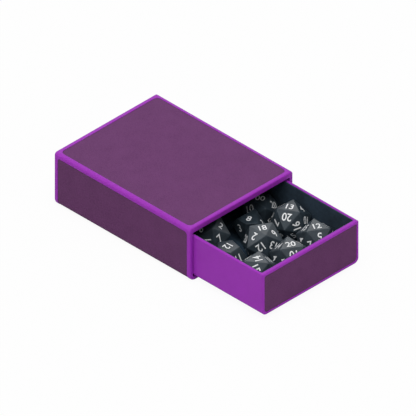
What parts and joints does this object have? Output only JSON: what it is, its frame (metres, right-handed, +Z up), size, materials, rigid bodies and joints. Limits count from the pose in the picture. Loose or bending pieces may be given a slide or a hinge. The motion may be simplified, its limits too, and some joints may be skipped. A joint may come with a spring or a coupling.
{
  "type": "dice storage chest",
  "caption": "Sliding storage box for polyhedral dice: a wrapped-board sleeve open at both ends and a lined drawer that slides through it, holding a mixed set of dice.",
  "frame": {"origin": "centre of the sleeve's underside, on the plane that the chest rests on", "axes": "+Z up through the sleeve's top, -Y towards the drawer's front and the way that it pulls out, +X to the right seen from above with the drawer towards the viewer"},
  "size_m": [0.076, 0.1511, 0.0336],
  "materials": {
    "purple_cover": "smooth, slightly satin coated leatherette",
    "plum_panel": "fine-grained matte leatherette",
    "slate_lining": "short-napped microfibre",
    "greyboard": "raw grey board",
    "charcoal_dice": "satin plastic with white numerals"
  },
  "bodies": {
    "sleeve": {"sleeve_cover": "purple_cover", "sleeve_top_panel": "plum_panel", "sleeve_left_panel": "plum_panel", "sleeve_right_panel": "plum_panel", "sleeve_base_sheet": "plum_panel", "sleeve_left_lining": "slate_lining", "sleeve_left_board": "greyboard", "sleeve_right_lining": "slate_lining", "sleeve_right_board": "greyboard", "sleeve_top_lining": "slate_lining", "sleeve_top_board": "greyboard", "sleeve_bottom_lining": "slate_lining", "sleeve_bottom_board": "greyboard"},
    "drawer": {"drawer_cover": "purple_cover", "drawer_front_panel": "plum_panel", "drawer_back_panel": "plum_panel", "drawer_floor_board": "greyboard", "drawer_floor_lining": "slate_lining", "drawer_left_board": "greyboard", "drawer_left_lining": "slate_lining", "drawer_right_board": "greyboard", "drawer_right_lining": "slate_lining", "drawer_front_board": "greyboard", "drawer_front_lining": "slate_lining", "drawer_back_board": "greyboard", "drawer_back_lining": "slate_lining", "d20_die_1": "charcoal_dice", "d20_die_2": "charcoal_dice", "d20_die_3": "charcoal_dice", "d20_die_4": "charcoal_dice", "d20_die_5": "charcoal_dice", "d20_die_6": "charcoal_dice", "d12_die": "charcoal_dice", "d10_die": "charcoal_dice", "d10_tens_die": "charcoal_dice"}
  },
  "joints": [
    {"name": "drawer_slide", "type": "slide", "parent": "sleeve", "child": "drawer", "axis": [0, -1, 0], "range_m": [-0.0511, 0.0378]}
  ]
}
